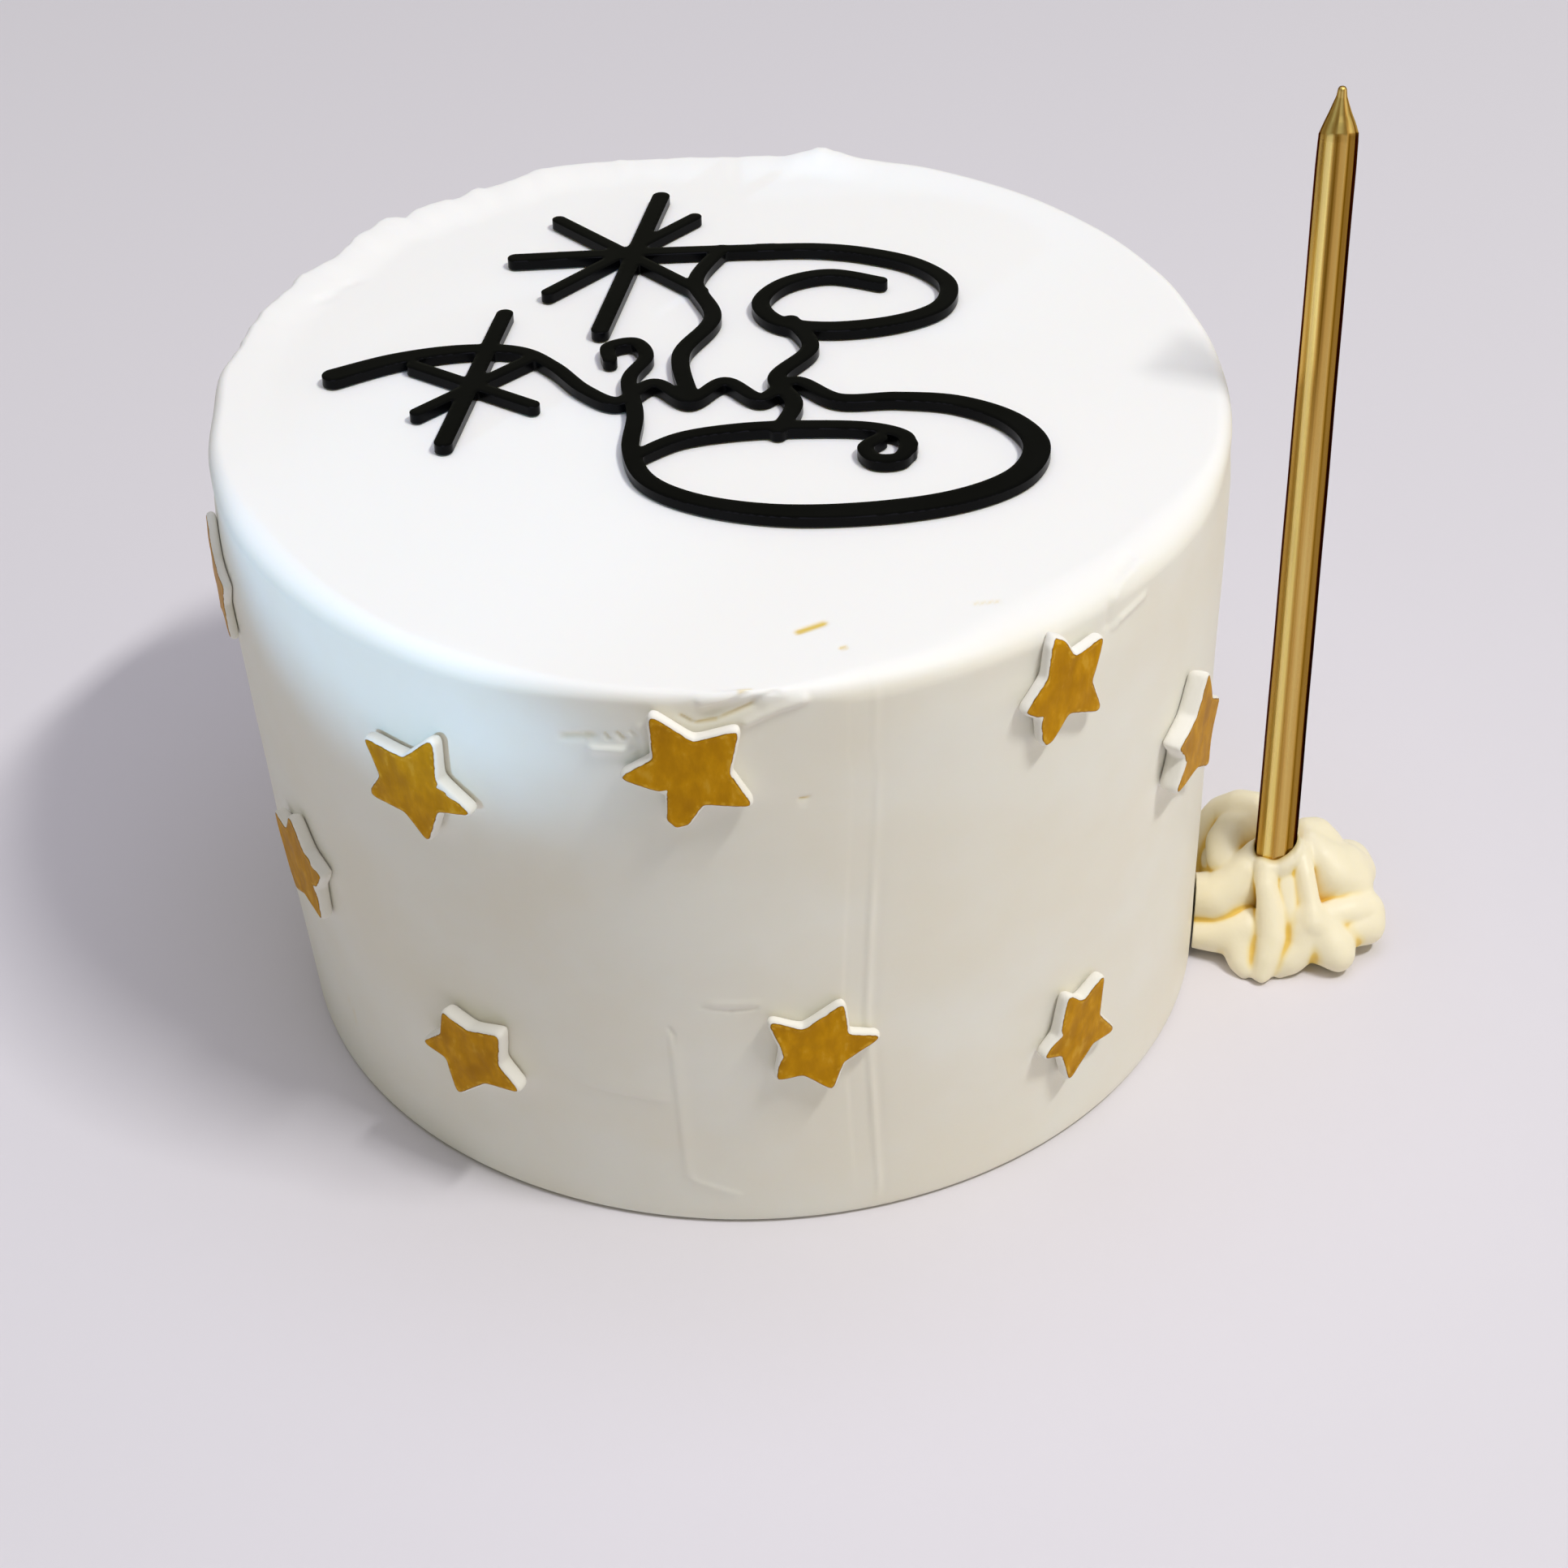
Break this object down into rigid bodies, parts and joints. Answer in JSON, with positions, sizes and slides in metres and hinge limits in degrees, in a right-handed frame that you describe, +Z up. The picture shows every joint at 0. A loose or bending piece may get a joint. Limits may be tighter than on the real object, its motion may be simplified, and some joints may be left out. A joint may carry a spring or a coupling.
{
  "type": "iced birthday cake with candle",
  "caption": "Tall round cake in smooth white icing, studded with gold-painted stars, with a flat black openwork topper and a slim metallic candle standing in piped cream beside it.",
  "frame": {"origin": "middle of the cake's flat underside, on the surface it stands on", "axes": "+Z up; front towards -Y; +X towards the cream ruffle and the candle, to the right of the cake seen from the front"},
  "size_m": [0.1868, 0.1605, 0.1563],
  "materials": {
    "icing": "smooth white buttercream, soft and matt, with faint scraper marks",
    "gold_paint": "edible gold paint brushed on the face of a white fondant star",
    "acrylic": "glossy black acrylic sheet",
    "cream": "pale ivory piped buttercream, soft satin",
    "candle_gold": "metallic gold coating on fluted wax"
  },
  "bodies": {
    "root": {"cake": "icing", "star_01": "gold_paint", "star_02": "gold_paint", "star_03": "gold_paint", "star_04": "gold_paint", "star_05": "gold_paint", "star_06": "gold_paint", "star_07": "gold_paint", "star_08": "gold_paint", "star_09": "gold_paint", "star_10": "gold_paint", "star_11": "gold_paint", "star_12": "gold_paint", "star_13": "gold_paint", "star_14": "gold_paint", "star_15": "gold_paint", "star_16": "gold_paint", "star_17": "gold_paint", "star_18": "gold_paint", "topper": "acrylic", "cream_ruffle": "cream", "candle": "candle_gold"}
  },
  "joints": []
}
